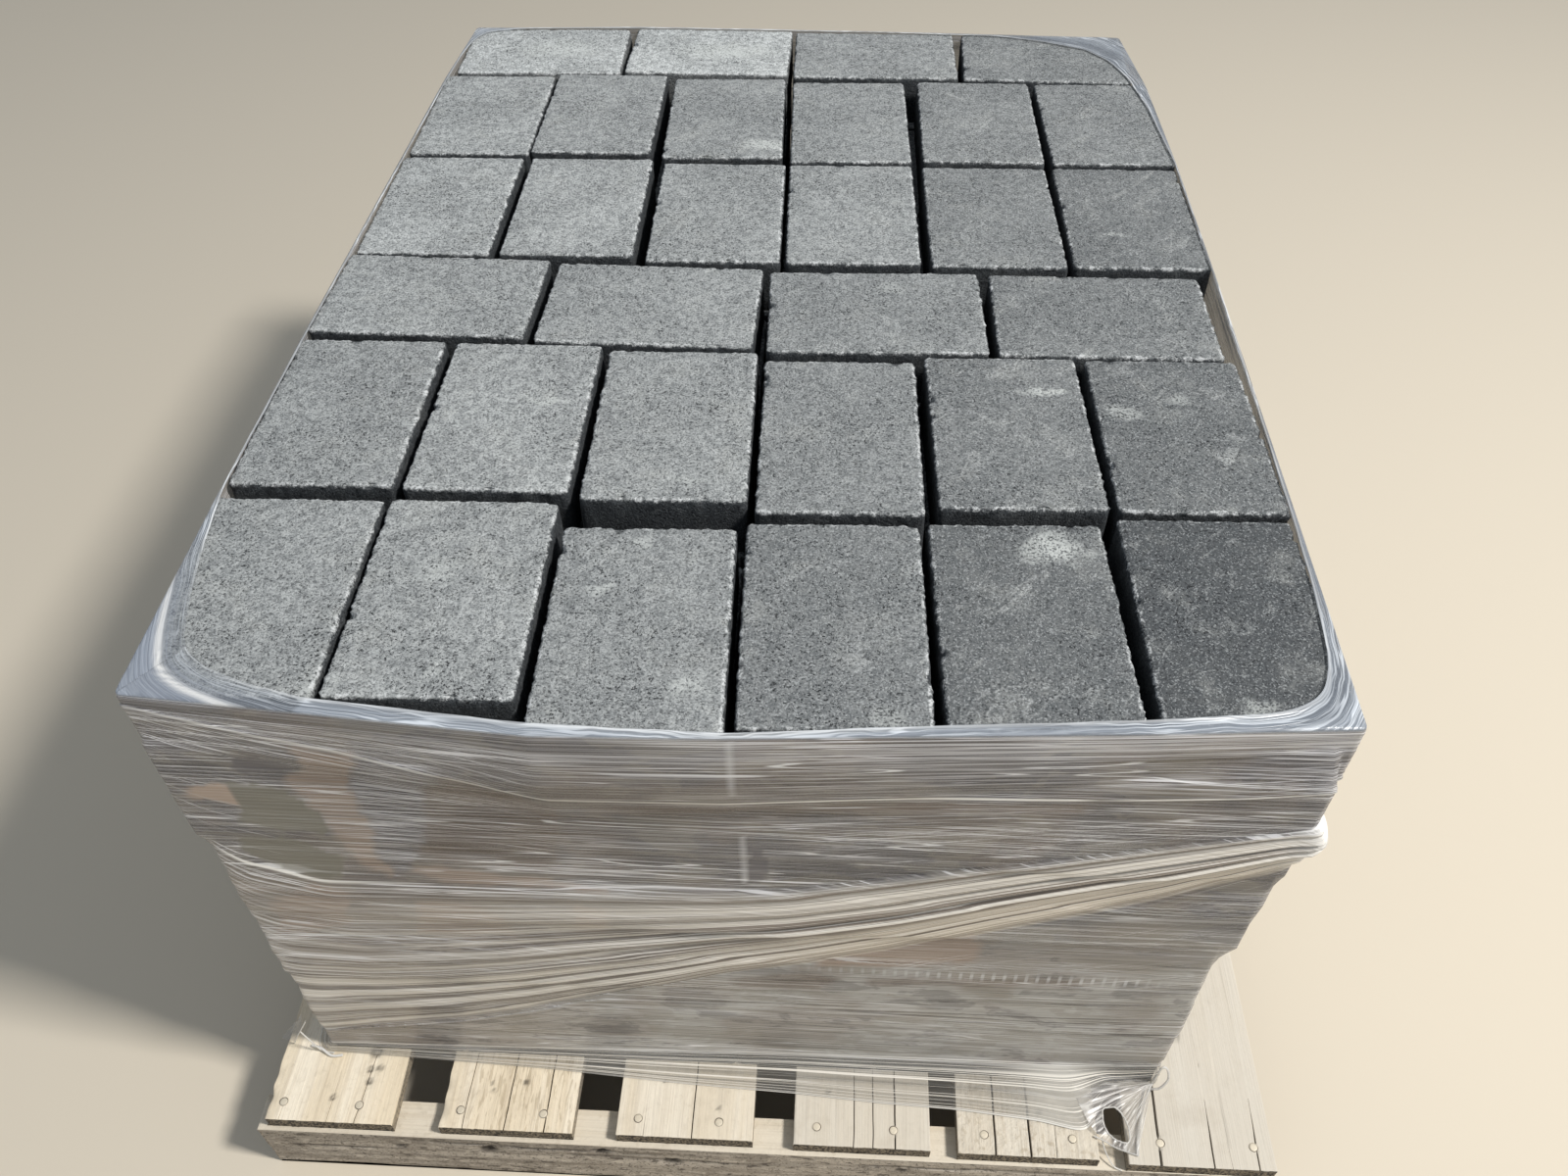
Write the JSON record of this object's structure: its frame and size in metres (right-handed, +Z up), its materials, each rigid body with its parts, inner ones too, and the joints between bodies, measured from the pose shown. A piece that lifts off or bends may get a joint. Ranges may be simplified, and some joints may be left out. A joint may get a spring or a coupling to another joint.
{
  "type": "pallet of pavers",
  "caption": "Wooden skid pallet loaded with layers of rectangular concrete pavers and wrapped in clear stretch film, open over the top.",
  "frame": {"origin": "on the ground, under the middle of the pallet", "axes": "+X along the stringers to the right, +Y along the deck boards to the back, +Z up"},
  "size_m": [1.05, 1.32, 0.7084],
  "materials": {
    "deck_wood": "bleached rough-sawn pine, checked and knotty",
    "stringer_wood": "weathered grey-brown sawn pine",
    "nail_steel": "dull weathered nail heads",
    "paver_concrete": "dry charcoal concrete with fine pits, pale dust and lime bloom",
    "film": "clear stretch film, glossy, milky where it is gathered"
  },
  "bodies": {
    "root": {"deck_board_1": "deck_wood", "deck_board_2": "deck_wood", "deck_board_3": "deck_wood", "deck_board_4": "deck_wood", "deck_board_5": "deck_wood", "deck_board_6": "deck_wood", "stringer_front": "stringer_wood", "stringer_middle": "stringer_wood", "stringer_rear": "stringer_wood", "deck_nails": "nail_steel", "paver_layer_1": "paver_concrete", "paver_layer_2": "paver_concrete", "paver_layer_3": "paver_concrete", "paver_layer_4": "paver_concrete", "paver_layer_5": "paver_concrete", "paver_layer_6": "paver_concrete", "paver_layer_7": "paver_concrete", "paver_layer_8": "paver_concrete", "paver_layer_9": "paver_concrete", "paver_layer_10": "paver_concrete", "stretch_film": "film"}
  },
  "joints": []
}
